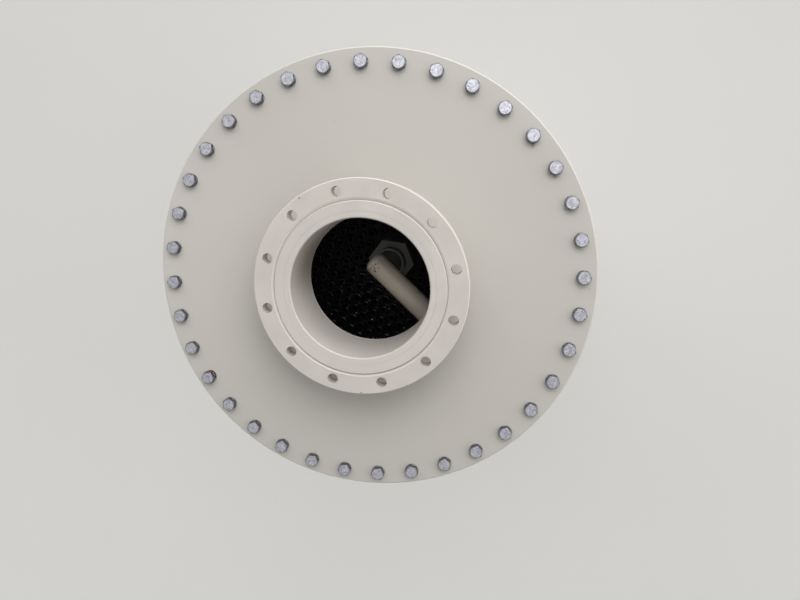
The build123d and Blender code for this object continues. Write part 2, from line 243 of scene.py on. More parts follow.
class AbsorberColours(bpy.types.PropertyGroup):
    """Colours of the finishes."""

    cream: paint("Cream sheet", "#C6C2BC", "Polypropylene sheet of the body")
    turned: paint("Turned face", "#CFC9C3", "Turned faces of the nozzle flanges")
    pipe: paint("Pipe", "#D5CCBE", "Liquid inlet pipe")
    weld: paint("Weld", "#CFCBC0", "Hot gas welds")
    graphite: paint("Graphite filled", "#1B1D21", "Tube sheets, tubes and film heads")
    boss: paint("Boss", "#A8A9AA", "Hexagonal bosses and the splash cup")
    zinc: paint("Zinc", "#D2D2DD", "Bolts, nuts and washers")
    rubber: paint("Rubber", "#242423", "Gaskets")
    rust: paint("Rust", "#A98C74", "Drips under two of the bolts")
    red: paint("Red marker", "#6E2229", "Inspection marks beside two of the bolts")
    # Painted shade inside the splash cup's bore, in a dark olive tone
    cup_bore_shade: paint("Cup bore shade", "#3B3A2A", "Dried liquid in the splash cup")
    grime: paint("Grime", "#6F6B62", "Specks, nicks and dust in corners")
    floor: paint("Floor", "#F0EFED", "Studio floor")
    backdrop: paint("Backdrop", "#F4F4F2", "World behind the floor")


class AbsorberStudio(bpy.types.PropertyGroup):
    """Camera, lamp and world."""

    camera: point("Camera", (0.0263, 0.3284, 2.7676), "Place of the camera")
    aim: point("Aim", (0.0786, 0.0137, 1.445), "Point in the middle of the picture")
    up: angle("Picture up", 133.64, "Direction in plan that points up in the picture")
    lens: amount("Lens", 27.6, "Focal length in millimetres")
    lamp_from: angle("Lamp from", 112.0, "Direction in plan that the lamp shines from")
    lamp_rise: angle("Lamp rise", 48.0, "Height of the lamp over the horizon, seen from the cover")
    lamp_reach: distance("Lamp reach", 2.8, "Distance from the cover to the lamp")
    lamp_size: distance("Lamp size", 1.6, "Width of the lamp")
    lamp: amount("Lamp", 22.0, "Power of the lamp in watts")
    sky_from: angle("Sky from", 107.0, "Direction in plan of the brightest part of the world")
    bright_sky: amount("Bright sky", 0.82, "Strength of the world over the vessel")
    dim_sky: amount("Dim sky", 0.23, "Strength of the world on the far side")
    far_glow: amount("Far glow", 0.54, "Strength of the far side in what metal shows")
    lit_sky: amount("Lit sky", 0.96, "What the world adds on its bright side")
    floor: distance("Floor", 80.0, "Width of the floor")


class AbsorberSettings(bpy.types.PropertyGroup):
    """Everything that a user would change."""

    bolts: PointerProperty(type=AbsorberBolts)
    groove: PointerProperty(type=AbsorberGroove)
    tubes: PointerProperty(type=AbsorberTubes)
    welds: PointerProperty(type=AbsorberWelds)
    colours: PointerProperty(type=AbsorberColours)
    studio: PointerProperty(type=AbsorberStudio)


def low(node):
    """Lowest level of a node."""
    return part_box(node)[0].z


def high(node):
    """Highest level of a node."""
    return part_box(node)[1].z


def middle(node):
    """Middle of a node's box."""
    return (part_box(node)[0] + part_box(node)[1]) / 2


def half_width(node):
    """Radius of a round node, from its width along Y, which no nozzle adds to."""
    return (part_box(node)[1].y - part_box(node)[0].y) / 2


def in_plan(turn, reach=1.0, level=0.0):
    """The point at this distance from the vessel's axis in this direction."""
    return Vector((reach * math.cos(turn), reach * math.sin(turn), level))


def open_output(node):
    """The first output that a node has in its present mode."""
    return next(socket for socket in node.outputs if socket.enabled)


def add_node(tree, kind, *inputs, **settings):
    """Adds a node with its settings and links.

    Inputs stand in the order of the node's sockets, or in one dictionary by name or number. Each is a
    value, a socket, or a node, which stands for its first output.
    """
    node = tree.nodes.new(kind)
    for name, value in settings.items():
        setattr(node, name, value)
    keyed = inputs[0] if inputs and isinstance(inputs[0], dict) else dict(enumerate(inputs))
    for key, value in keyed.items():
        if isinstance(value, bpy.types.Node):
            value = open_output(value)
        if isinstance(value, bpy.types.NodeSocket):
            tree.links.new(value, node.inputs[key])
        else:
            node.inputs[key].default_value = value
    return node


class Finish:
    """A material with one Principled shader, whose colours are laid over each other. Sizes are in metres."""

    def __init__(self, name, colour, roughness, **sockets):
        self.material = bpy.data.materials.new(name)
        self.material.use_nodes = True
        self.tree = self.material.node_tree
        self.tree.nodes.clear()
        self.shader = self.add("BsdfPrincipled", {"Roughness": roughness, **sockets})
        self.add("OutputMaterial", self.shader)
        self.place = self.add("TexCoord").outputs["Object"]
        self.colour = colour
        self.bump = None

    def add(self, kind, *inputs, **settings):
        """Adds a shader node to the material."""
        return add_node(self.tree, "ShaderNode" + kind, *inputs, **settings)

    def feed(self, socket, node):
        """Lets a node drive a socket of the shader."""
        self.tree.links.new(open_output(node), self.shader.inputs[socket])

    def lay(self, colour, mask):
        """Lays a colour over the ones before it, where the mask is 1."""
        self.colour = self.add("Mix", {0: mask, 6: self.colour, 7: colour}, data_type="RGBA")
        self.feed("Base Color", self.colour)

    def cloud(self, period, change, along=None):
        """Lets the first colour drift lighter and darker over patches about as wide as the period."""
        noise = self.add("TexNoise", {"Vector": along or self.place, "Scale": 1 / period, "Detail": 4.0})
        spread = self.add("MapRange", {"Value": noise, "From Min": 0.32, "From Max": 0.68})
        lighter = toned(self.colour, 1 + change)
        self.colour = toned(self.colour, 1 - change)
        self.lay(lighter, spread)

    def specks(self, period, share):
        """A mask of small specks in the given share of the cells of a noise."""
        cells = self.add("TexVoronoi", {"Vector": self.place, "Scale": 1 / period})
        chance = self.add("SeparateColor", cells.outputs["Color"])
        kept = self.add("Math", chance, share, operation="LESS_THAN")
        spot = self.add(
            "MapRange", {"Value": cells.outputs["Distance"], "From Min": 0.16, "From Max": 0.05},
            interpolation_type="SMOOTHSTEP",
        )
        return self.add("Math", kept, spot, operation="MULTIPLY")

    def patch(self, centre, half_size, soft, ragged=0.0, turn=0.0):
        """A mask of one elliptical patch, turned about Z, with a soft edge that a noise makes ragged."""
        local = self.add(
            "Mapping",
            {"Vector": self.place, "Location": centre, "Rotation": (0.0, 0.0, turn), "Scale": half_size},
            vector_type="TEXTURE",
        )
        reach = self.add("VectorMath", local, operation="LENGTH")
        grain = self.add("TexNoise", {"Vector": self.place, "Scale": 1 / RAGGED_GRAIN, "Detail": 3.0})
        edge = self.add("Math", grain, ragged, reach, operation="MULTIPLY_ADD")
        outside = 1.0 + ragged / 2
        return self.add(
            "MapRange", {"Value": edge, "From Min": outside, "From Max": outside - soft},
            interpolation_type="SMOOTHSTEP",
        )

    def slope(self, axis, low_cosine, high_cosine):
        """A mask of the surfaces whose normal has a cosine to the axis between the two values."""
        normal = self.add("NewGeometry").outputs["Normal"]
        along = self.add("VectorMath", normal, axis, operation="DOT_PRODUCT")
        cosine = self.add("Math", along, operation="ABSOLUTE")
        half = (high_cosine - low_cosine) / 2
        return self.add("Math", cosine, low_cosine + half, half, operation="COMPARE")

    def roughen(self, period, smoothest, roughest):
        """Lets the roughness wander between two values, as handling leaves it."""
        wipe = self.add("TexNoise", {"Vector": self.place, "Scale": 1 / period, "Detail": 5.0})
        spread = self.add(
            "MapRange",
            {"Value": wipe, "From Min": 0.3, "From Max": 0.7, "To Min": smoothest, "To Max": roughest},
        )
        self.feed("Roughness", spread)

    def emboss(self, shape, height, strength=1.0):
        """Bump of the given height, over any bump before it."""
        inputs = {"Height": shape, "Distance": height, "Strength": strength}
        if self.bump:
            inputs["Normal"] = self.bump
        self.bump = self.add("Bump", inputs)
        self.feed("Normal", self.bump)

    def grain(self, period, height, detail=2.0, strength=1.0, along=None):
        """Bump of a noise about as wide as the period."""
        noise = self.add("TexNoise", {"Vector": along or self.place, "Scale": 1 / period, "Detail": detail})
        self.emboss(noise, height, strength)

    def sheet_skin(self):
        """Bump of calendered sheet: a slow wave and a fine grain, both too flat to cast a shadow."""
        self.grain(0.09, 0.0012, detail=1.0, strength=0.6)
        self.grain(0.004, 0.00008)


def calendered(name, colours, dirt):
    """The finish of calendered sheet, with specks of dirt in this share of its cells."""
    look = Finish(name, colours.cream, 0.44, IOR=POLYPROPYLENE_IOR)
    look.cloud(0.35, 0.03)
    look.lay(colours.grime, look.specks(0.012, dirt))
    look.roughen(0.06, 0.38, 0.52)
    look.sheet_skin()
    return look


def cream_sheet(colours):
    """Calendered polypropylene sheet, rolled and welded: satin, with slow clouds and specks of dirt."""
    return calendered("calendered cream polypropylene", colours, 0.006).material


def cream_plate(colours):
    """Thick polypropylene plate, cut to a ring or a square: its sawn, broken edges are painted paler, a
    painted highlight.
    """
    look = calendered("cut cream polypropylene plate", colours, 0.008)
    look.lay(toned(colours.cream, 1.12), look.slope(ALONG_Z, *EDGE_HIGHLIGHT_SLOPE))
    return look.material


def cover_marks(settings, level):
    """Rust drips and red marker on the cover: colour, centre, half size, softness, raggedness and turn."""
    bolts = settings.bolts
    colours = settings.colours
    down = settings.studio.up + math.pi
    washer = bolts.washer / 2
    disc = (washer, washer, 0.02)

    def bolt_place(number):
        return in_plan(bolts.first + math.tau * number / bolts.count, bolts.circle / 2, level)

    marks = []
    # Drips: number of the bolt and half length
    for number, length in ((8, 0.010), (7, 0.008)):
        foot = bolt_place(number) + in_plan(down, washer + length / 4)
        marks.append((colours.rust, foot, (length, 0.0060, 0.02), 1.0, 0.6, down))
        rim = bolt_place(number) + in_plan(down, 0.0016)
        marks.append((toned(colours.rust, 0.30), rim, disc, 0.10, 0.06, down))
    # Red marks: number of the bolt and how far they show past its washer
    for number, offset in ((25, 0.0030), (27, 0.0016)):
        side = bolt_place(number) + Vector((0.0, offset, 0.0))
        marks.append((colours.red, side, disc, 0.10, 0.05, 0.0))
    return marks


def cover_sheet(settings):
    """The same sheet as a flat cover: it also holds rust drips and red marks beside four of the bolts."""
    colours = settings.colours
    top = high("top_cover")
    look = Finish("calendered polypropylene cover", colours.cream, 0.42, IOR=POLYPROPYLENE_IOR)
    look.cloud(0.5, 0.025)
    # A paler patch on the side away from the liquid inlet is painted light
    look.lay(toned(colours.cream, 1.10), look.patch((-0.33, -0.28, top), (0.42, 0.42, 0.2), 0.9, 0.1))
    look.lay(colours.grime, look.specks(0.012, 0.006))
    for colour, *mark in cover_marks(settings, top):
        look.lay(colour, look.patch(*mark))
    # Broken edges are painted paler: a painted highlight
    look.lay(toned(colours.cream, 1.12), look.slope(ALONG_Z, *EDGE_HIGHLIGHT_SLOPE))
    look.roughen(0.12, 0.36, 0.48)
    look.sheet_skin()
    return look.material


def turned_face(flange, axis, step, colours):
    """Turned polypropylene: rings on the faces, broken into arcs, edges painted paler as a painted
    highlight, and painted shade in a corner.
    """
    look = Finish("turned polypropylene " + flange, colours.turned, 0.40, IOR=POLYPROPYLENE_IOR)
    across = [1.0 - share for share in axis]
    from_centre = look.add("VectorMath", look.place, middle(flange), operation="SUBTRACT")
    flat = look.add("VectorMath", from_centre, across, operation="MULTIPLY")
    radius = look.add("VectorMath", flat, operation="LENGTH")
    rings = look.add(
        "TexNoise", {"W": radius, "Scale": 1 / TOOL_MARKS, "Detail": 2.0}, noise_dimensions="1D"
    )
    arcs = look.add("TexNoise", {"Vector": look.place, "Scale": 1 / 0.07, "Detail": 2.0})
    part = look.add("MapRange", {"Value": arcs, "From Min": 0.42, "From Max": 0.62})
    where = look.add("Math", part, look.slope(axis, 0.95, 1.05), operation="MULTIPLY")
    marks = look.add("Math", rings, where, operation="MULTIPLY")
    lined = look.add("MapRange", {"Value": marks, "From Max": 0.75, "To Max": 0.35})
    look.cloud(0.11, 0.025)
    look.lay(toned(colours.turned, 0.76), lined)

    # Painted shade lies in the corner at the foot of the raised face, on the gas flange inside its groove
    foot = half_width(flange) - step
    corner = foot - 0.0012 if flange == "gas_inlet_flange" else foot + 0.0008
    shade_half_width = 0.0011
    line = look.add("Math", radius, corner, shade_half_width, operation="COMPARE")
    look.lay(toned(colours.turned, 0.42), line)
    # Broken edges are painted paler from just inside that foot outwards: a painted highlight
    margin = 0.006
    outside = look.add("Math", radius, foot - margin, operation="GREATER_THAN")
    broken = look.add("Math", outside, look.slope(axis, *EDGE_HIGHLIGHT_SLOPE), operation="MULTIPLY")
    look.lay(toned(colours.turned, 1.2), broken)
    if flange == "gas_inlet_flange":
        gas_inlet_light_and_nicks(look, colours)
    look.roughen(0.05, 0.34, 0.46)
    look.emboss(marks, 0.00012)
    return look.material


def gas_inlet_light_and_nicks(look, colours):
    """Lays a painted highlight on the end of the gas neck, painted shade down one side of its bore, and two
    nicks.
    """
    end = low("gas_inlet_neck")
    # A band at the neck's lower end is painted paler: a painted highlight
    sawn = look.patch((0.0, 0.0, end), (ENDLESS, ENDLESS, 0.008), 0.3)
    look.lay(toned(colours.turned, 1.4), sawn)
    # A darker patch down one side of the bore, towards its lower end, is painted shade
    bore_shade = look.patch((-0.128, -0.066, end + 0.045), (0.090, 0.100, 0.130), 0.9, 0.3)
    look.lay(toned(colours.pipe, 0.62), bore_shade)
    rim = high("gas_inlet_flange") - RAISED_FACE
    for nick in ((0.1522, -0.1576, rim), (-0.2120, 0.0493, rim)):
        look.lay(colours.grime, look.patch(nick, (0.0024, 0.0018, 0.01), 0.5, 0.5))


def extruded_pipe(colours):
    """Extruded polypropylene pipe: smoother than sheet, with faint lines along it and dirt on its tip."""
    look = Finish("extruded polypropylene pipe", colours.pipe, 0.36, IOR=POLYPROPYLENE_IOR)
    stretched = look.add("Mapping", {"Vector": look.place, "Scale": (0.06, 1.0, 1.0)})
    look.cloud(0.012, 0.03, along=stretched)
    top = high("liquid_inlet_pipe")
    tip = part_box("liquid_inlet_pipe")[0].x
    # The end cap is paler, and dirt lies in the joint behind it
    look.lay(toned(colours.pipe, 1.12), look.patch((tip, 0.0, top), (0.0145, 1.0, 1.0), 0.1))
    joint = look.patch((tip + 0.0150, -0.012, top), (0.0010, 0.018, 1.0), 0.5, 0.6)
    look.lay(colours.grime, joint)
    # Specks of dirt: x, y, half length and tone
    specks = (
        (-0.0085, -0.0095, 0.0042, 0.10), (-0.0143, -0.0051, 0.0032, 0.25), (-0.0191, 0.0035, 0.0030, 0.50),
        (-0.0078, 0.0025, 0.0026, 0.50), (-0.0163, 0.0080, 0.0024, 0.55), (-0.0120, -0.0120, 0.0022, 0.40),
    )
    for x, y, length, tone in specks:
        speck = look.patch((x, y, top), (length, 0.75 * length, 0.01), 0.6, 0.5)
        look.lay(toned(colours.grime, tone), speck)
    look.grain(0.003, 0.00006, along=stretched)
    return look.material


def hot_gas_weld(colours):
    """Polypropylene laid down by a hot gas torch: paler and glossier than the sheet beside it."""
    look = Finish("hot gas welded polypropylene", colours.weld, 0.30, IOR=POLYPROPYLENE_IOR)
    look.cloud(0.03, 0.04)
    look.grain(0.0025, 0.0001)
    return look.material


def filled_plastic(colours):
    """Graphite filled polypropylene, machined: nearly black, faintly blue, with pale specks that are painted
    glints.
    """
    look = Finish("graphite filled polypropylene", colours.graphite, 0.34, IOR=1.50)
    look.cloud(0.02, 0.35)
    # Liquid splashes from the cup to one side and keeps the skin glossy there; the pale specks there are
    # painted glints
    splash_and_glint_zone = look.patch((0.06, -0.18, high("upper_tube_sheet")), (0.19, 0.19, 0.2), 0.7, 0.2)
    painted_glints = look.add("Math", look.specks(GLINT_CELLS, 0.60), splash_and_glint_zone, operation="MULTIPLY")
    look.lay(toned(colours.boss, 2.2), painted_glints)
    gloss = look.add("MapRange", {"Value": splash_and_glint_zone, "To Min": 0.58, "To Max": 0.27})
    look.feed("Roughness", gloss)
    look.grain(0.0015, 0.0001)
    return look.material


def boss_plastic(colours):
    """Light grey polypropylene, sawn and milled: matt, with fine parallel cutter marks."""
    look = Finish("milled grey polypropylene", colours.boss, 0.50, IOR=POLYPROPYLENE_IOR)
    look.cloud(0.04, 0.06)
    cut = look.add("TexWave", {"Vector": look.place, "Scale": 1 / CUTTER_MARKS, "Distortion": 0.6})
    look.emboss(cut.outputs["Fac"], 0.00008)
    return look.material


def cup_plastic(colours):
    """The splash cup: grey polypropylene, with painted shade in a dark olive tone inside the bore."""
    look = Finish("stained grey polypropylene", toned(colours.boss, 0.8), 0.46, IOR=POLYPROPYLENE_IOR)
    look.cloud(0.02, 0.12)
    reach = half_width("splash_cup") - UNSHADED_RIM
    # The bore is painted dark olive: painted shade
    shaded = look.patch((0.0, 0.0, low("splash_cup")), (reach, reach, ENDLESS), 0.10, 0.06)
    look.lay(colours.cup_bore_shade, shaded)
    look.grain(0.006, 0.0004, detail=4.0)
    return look.material


def zinc_plate(colours):
    """Zinc plated steel: pale, bluish and half matt, with a crystal mottle, dark specks of grime, and
    painted shade on its chamfers and sides.
    """
    look = Finish("zinc plated steel", toned(colours.zinc, 0.72), 0.38, Metallic=1.0)
    crystals = look.add("TexVoronoi", {"Vector": look.place, "Scale": 1 / CRYSTALS})
    facet = look.add("SeparateColor", crystals.outputs["Color"])
    look.lay(toned(colours.zinc, 1.22), facet)
    look.lay(toned(colours.grime, 0.4), look.specks(0.011, 0.75))
    # The chamfers of the heads are painted darker than the flats, and their sides darker still: painted
    # shade
    look.lay(toned(colours.zinc, 0.42), look.slope(ALONG_Z, 0.6, 0.94))
    look.lay(toned(colours.zinc, 0.22), look.slope(ALONG_Z, -0.1, 0.6))
    look.roughen(0.004, 0.32, 0.52)
    look.grain(0.004, 0.0003, detail=3.0)
    return look.material


def gasket_rubber(colours):
    """Cut rubber sheet: matt and black, faintly clouded."""
    look = Finish("cut rubber sheet", colours.rubber, 0.72, IOR=1.52)
    look.cloud(0.03, 0.2)
    look.grain(0.002, 0.0002)
    return look.material


def studio_floor(colours):
    """Matt painted floor without a pattern."""
    look = Finish("matt studio paint", colours.floor, 0.85)
    look.cloud(2.5, 0.01)
    return look.material


def cover_nodes(material, *nodes):
    """Gives nodes of the frame their finish."""
    for node in nodes:
        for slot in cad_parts[node].material_slots:
            slot.material = material


def new_piece(name, mesh):
    """A new object at the origin that holds the mesh."""
    piece = bpy.data.objects.new(name, mesh)
    bpy.context.scene.collection.objects.link(piece)
    return piece


def applied(piece, modifier):
    """What a modifier makes of a piece, as a plain mesh. The modifier is removed."""
    view = bpy.context.evaluated_depsgraph_get()
    mesh = bpy.data.meshes.new_from_object(piece.evaluated_get(view), depsgraph=view)
    piece.modifiers.remove(modifier)
    piece.data = mesh
    if not mesh.polygons:
        raise RuntimeError(piece.name + " came out empty")
    return mesh


def smooth_mesh(name, build, crease):
    """A mesh from a bmesh: faces outwards, smooth up to the crease angle in degrees."""
    bmesh.ops.recalc_face_normals(build, faces=build.faces)
    mesh = bpy.data.meshes.new(name)
    build.to_mesh(mesh)
    build.free()
    mesh.shade_smooth()
    mesh.set_sharp_from_angle(angle=math.radians(crease))
    return mesh


def ring_points(count, radius, level):
    """Points round Z. The radius and the level are numbers, or functions of the angle."""
    points = []
    for step in range(count):
        turn = math.tau * step / count
        reach = radius(turn) if callable(radius) else radius
        height = level(turn) if callable(level) else level
        points.append(in_plan(turn, reach, height))
    return points


def ringed_mesh(name, count, rows, capped, crease=28):
    """A closed mesh through rings of a radius and a level, capped at both ends or joined last to first."""
    build = bmesh.new()
    rings = [[build.verts.new(place) for place in ring_points(count, *row)] for row in rows]
    pairs = list(zip(rings, rings[1:]))
    if capped:
        build.faces.new(rings[0])
        build.faces.new(rings[-1])
    else:
        pairs.append((rings[-1], rings[0]))
    for above, below in pairs:
        for step in range(count):
            after = (step + 1) % count
            build.faces.new((above[step], above[after], below[after], below[step]))
    return smooth_mesh(name, build, crease)


def grooved_flange(node, groove):
    """A copy of a flange's solid with a V groove turned into it at the foot of its raised face."""
    build = bmesh.new()
    build.from_mesh(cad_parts[node].data)
    bmesh.ops.remove_doubles(build, verts=build.verts, dist=0.000001)
    flange = bpy.data.meshes.new(node)
    flange.from_pydata(
        [vert.co for vert in build.verts], [], [[vert.index for vert in face.verts] for face in build.faces]
    )
    build.free()
    raised = high(node)
    bottom = raised - RAISED_FACE - groove.depth
    overlap = 0.002
    top = raised + overlap
    inner_reach = groove.inner_slope * (top - bottom) / (raised - bottom)
    outer_reach = groove.outer_slope * (top - bottom) / groove.depth
    rows = [(groove.radius, bottom), (groove.radius + outer_reach, top), (groove.radius - inner_reach, top)]
    cutter = new_piece("cutter", ringed_mesh("cutter", PLATE_RIM, rows, False))
    piece = new_piece("grooved_" + node, flange)
    cut = piece.modifiers.new("groove", "BOOLEAN")
    cut.object = cutter
    cut.operation = "DIFFERENCE"
    cut.solver = "EXACT"
    mesh = applied(piece, cut)
    if len(mesh.polygons) == len(flange.polygons):
        raise RuntimeError("The groove does not reach the flange")
    mesh.materials.clear()
    mesh.shade_smooth()
    mesh.set_sharp_from_angle(angle=math.radians(25))
    bpy.data.objects.remove(cutter)
    return piece


def bolt_mesh(bolts, grip):
    """One bolt with its washers and nut. Level 0 is the face under the head's washer."""
    apothem = bolts.across_flats / 2
    flat_top = 0.92 * apothem

    def hexagon(turn):
        return apothem / math.cos(turn % math.radians(60) - math.radians(30))

    def bevel(turn):
        return (hexagon(turn) - flat_top) * math.tan(math.radians(30))

    washer = bolts.washer / 2
    edge = bolts.washer_thickness / 6
    head_foot = bolts.washer_thickness
    head_top = head_foot + bolts.head_height
    nut_top = -grip - bolts.washer_thickness
    nut_foot = nut_top - bolts.nut_height
    shank = bolts.shank / 2
    root = shank - 0.54 * bolts.thread_pitch
    rows = [
        (flat_top, head_top),
        (hexagon, lambda turn: head_top - bevel(turn)),
        (hexagon, head_foot),
        (washer - edge, head_foot),
        (washer, head_foot - edge),
        (washer, 0.0),
        (shank, 0.0),
        (shank, -grip),
        (washer, -grip),
        (washer, nut_top + edge),
        (washer - edge, nut_top),
        (hexagon, nut_top),
        (hexagon, lambda turn: nut_foot + bevel(turn)),
        (flat_top, nut_foot),
        (shank, nut_foot),
    ]
    for turn in range(bolts.thread_turns):
        level = nut_foot - turn * bolts.thread_pitch
        rows.append((root, level - 0.5 * bolts.thread_pitch))
        rows.append((shank, level - bolts.thread_pitch))
    end = nut_foot - bolts.thread_turns * bolts.thread_pitch
    rows.append((root, end - 0.6 * bolts.thread_pitch))
    return ringed_mesh("bolt", BOLT_SIDES, rows, True)


def plugs_mesh(circle, level):
    """The plugs over the screws of the stay bosses, in one mesh."""
    # Radius and height over the boss, from the middle of a plug's dished top outwards and down
    rows = [(0.004, 0.0012), (0.011, 0.0030), (0.013, 0.0018), (0.013, 0.0)]
    plug = ringed_mesh("plug", BOLT_SIDES, rows, True)
    build = bmesh.new()
    for azimuth in STAY_AZIMUTHS:
        before = len(build.verts)
        build.from_mesh(plug)
        build.verts.ensure_lookup_table()
        place = in_plan(math.radians(azimuth), circle, level)
        bmesh.ops.translate(build, verts=build.verts[before:], vec=place)
    mesh = bpy.data.meshes.new("boss_plugs")
    build.to_mesh(mesh)
    build.free()
    return mesh


def tube_mesh(tubes, bottom, top):
    """One tube, open at both ends."""
    outer = tubes.tube / 2
    inner = tubes.hole / 2
    rows = [(outer, top), (outer, bottom), (inner, bottom), (inner, top)]
    return ringed_mesh("tube", TUBE_SIDES, rows, False, crease=50)


def film_head_mesh(tubes, notches=3, sides=3):
    """One film forming head: a thick ring with notches in its rim. Level 0 is its foot."""
    outer = tubes.head / 2
    inner = tubes.head_bore / 2
    bevel = 0.05 * tubes.head
    top = tubes.head_height
    sill = top - tubes.notch_depth
    notch = tubes.notch_width / outer
    land = math.tau / notches - notch
    turns = []
    cut = []
    for number in range(notches):
        start = math.tau * number / notches
        turns += [start] + [start + notch + land * side / sides for side in range(sides)]
        cut += [True] + [False] * sides

    build = bmesh.new()

    def ring(radius, level):
        return [build.verts.new(in_plan(turn, radius, level)) for turn in turns]

    outside = [ring(outer, 0.0), ring(outer, sill), ring(outer, top - bevel), ring(outer - bevel, top)]
    inside = [ring(inner, 0.0), ring(inner, sill), ring(inner, top)]
    for step, notched in enumerate(cut):
        after = (step + 1) % len(turns)
        spans = [(outside[0], outside[1]), (inside[1], inside[0]), (inside[0], outside[0])]
        if notched:
            spans.append((outside[1], inside[1]))
            for side in (step, after):
                wall = [row[side] for row in (*outside[1:], inside[2], inside[1])]
                build.faces.new(wall if side == step else reversed(wall))
        else:
            spans += [
                (outside[1], outside[2]), (outside[2], outside[3]),
                (outside[3], inside[2]), (inside[2], inside[1]),
            ]
        for lower, upper in spans:
            build.faces.new((lower[step], lower[after], upper[after], upper[step]))
    loose = [vert for vert in build.verts if not vert.link_faces]
    bmesh.ops.delete(build, geom=loose, context="VERTS")
    return smooth_mesh("film_head", build, 60)


def new_tree(name, inputs):
    """A geometry node tree with named inputs, and its input sockets."""
    tree = bpy.data.node_groups.new(name, "GeometryNodeTree")
    for label, kind in inputs.items():
        tree.interface.new_socket(label, in_out="INPUT", socket_type="NodeSocket" + kind)
    tree.interface.new_socket("Geometry", in_out="OUTPUT", socket_type="NodeSocketGeometry")
    return tree, add_node(tree, "NodeGroupInput").outputs


def finish_tree(tree, geometry, material):
    """Ends a tree: real geometry in place of instances, and the material on it."""
    real = add_node(tree, "GeometryNodeRealizeInstances", geometry)
    dressed = add_node(tree, "GeometryNodeSetMaterial", {"Geometry": real, "Material": material})
    add_node(tree, "NodeGroupOutput", dressed)
    return tree


def grow(name, tree, values, start=None):
    """Runs a tree with these input values and keeps the result as a plain mesh."""
    piece = new_piece(name, start or bpy.data.meshes.new(name))
    modifier = piece.modifiers.new(tree.name, "NODES")
    modifier.node_group = tree
    for socket in tree.interface.items_tree:
        if socket.in_out == "INPUT" and socket.name in values:
            modifier[socket.identifier] = values[socket.name]
    applied(piece, modifier).name = name
    return piece


LATTICE_INPUTS = {
    "Rows": "Int", "Pitch": "Float", "Field Radius": "Float", "Centre Gap": "Float",
    "Stay Place": "Vector", "Stay Gap": "Float",
}
COPY_INPUTS = {"Copy": "Object", "Level": "Float", "Turn": "Float", "Seed": "Int", "Material": "Material"}


def lattice_tree():
    """Node group of one point for each tube, on a triangular lattice that leaves room for the bosses."""
    tree, given = new_tree("tube lattice", LATTICE_INPUTS)
    span = add_node(tree, "ShaderNodeMath", given["Rows"], 1.0, operation="SUBTRACT")
    grid = add_node(
        tree, "GeometryNodeMeshGrid",
        {"Size X": span, "Size Y": span, "Vertices X": given["Rows"], "Vertices Y": given["Rows"]},
    )
    position = add_node(tree, "GeometryNodeInputPosition")
    parts = add_node(tree, "ShaderNodeSeparateXYZ", position).outputs
    shifted = add_node(tree, "ShaderNodeMath", parts["Y"], 0.5, parts["X"], operation="MULTIPLY_ADD")
    risen = add_node(tree, "ShaderNodeMath", parts["Y"], math.sin(math.radians(60)), operation="MULTIPLY")
    joined = add_node(tree, "ShaderNodeCombineXYZ", {"X": shifted, "Y": risen})
    scaled = add_node(tree, "ShaderNodeVectorMath", {0: joined, "Scale": given["Pitch"]}, operation="SCALE")
    placed = add_node(tree, "GeometryNodeSetPosition", {"Geometry": grid, "Position": scaled})
    reach = add_node(tree, "ShaderNodeVectorMath", position, operation="LENGTH")
    quadrant = add_node(tree, "ShaderNodeVectorMath", position, operation="ABSOLUTE")
    to_stay = add_node(tree, "ShaderNodeVectorMath", quadrant, given["Stay Place"], operation="DISTANCE")
    unwanted = False
    for value, limit, test in (
        (reach, "Field Radius", "GREATER_THAN"), (reach, "Centre Gap", "LESS_THAN"),
        (to_stay, "Stay Gap", "LESS_THAN"),
    ):
        failed = add_node(tree, "FunctionNodeCompare", value, given[limit], operation=test)
        unwanted = add_node(tree, "FunctionNodeBooleanMath", unwanted, failed, operation="OR")
    kept = add_node(
        tree, "GeometryNodeDeleteGeometry", {"Geometry": placed, "Selection": unwanted}, domain="POINT"
    )
    add_node(tree, "NodeGroupOutput", kept)
    return tree


def lattice_values(tubes):
    """Input values of the lattice group."""
    # On each side of the axis the slanted grid needs 1.16 times the field's radius, and 1.6 times is ample
    side = math.ceil(1.6 * tubes.field / tubes.pitch)
    return {
        "Rows": 2 * side + 1,
        "Pitch": tubes.pitch,
        "Field Radius": tubes.field,
        "Centre Gap": tubes.centre_gap,
        "Stay Place": in_plan(math.radians(STAY_AZIMUTHS[0]), tubes.stay_circle),
        "Stay Gap": tubes.stay_gap,
    }


def add_lattice(tree, given, lattice):
    """The lattice group inside another tree, fed from that tree's inputs."""
    return add_node(
        tree, "GeometryNodeGroup", {label: given[label] for label in LATTICE_INPUTS}, node_tree=lattice
    )


def stand_copies(tree, given, points, first_turn=None):
    """Ends a tree with a copy of an object on each point at the level given, turned at random about Z."""
    lift = add_node(tree, "ShaderNodeCombineXYZ", {"Z": given["Level"]})
    place = {"Geometry": points, "Translation": lift}
    if first_turn:
        place["Rotation"] = add_node(tree, "ShaderNodeCombineXYZ", {"Z": first_turn})
    placed = add_node(tree, "GeometryNodeTransform", place)
    source = add_node(tree, "GeometryNodeObjectInfo", {"Object": given["Copy"], "As Instance": True})
    turn = add_node(
        tree, "FunctionNodeRandomValue", {3: given["Turn"], "Seed": given["Seed"]}, data_type="FLOAT"
    )
    turned = add_node(tree, "ShaderNodeCombineXYZ", {"Z": turn})
    copies = add_node(
        tree, "GeometryNodeInstanceOnPoints",
        {"Points": placed, "Instance": source.outputs["Geometry"], "Rotation": turned},
    )
    return finish_tree(tree, copies, given["Material"])


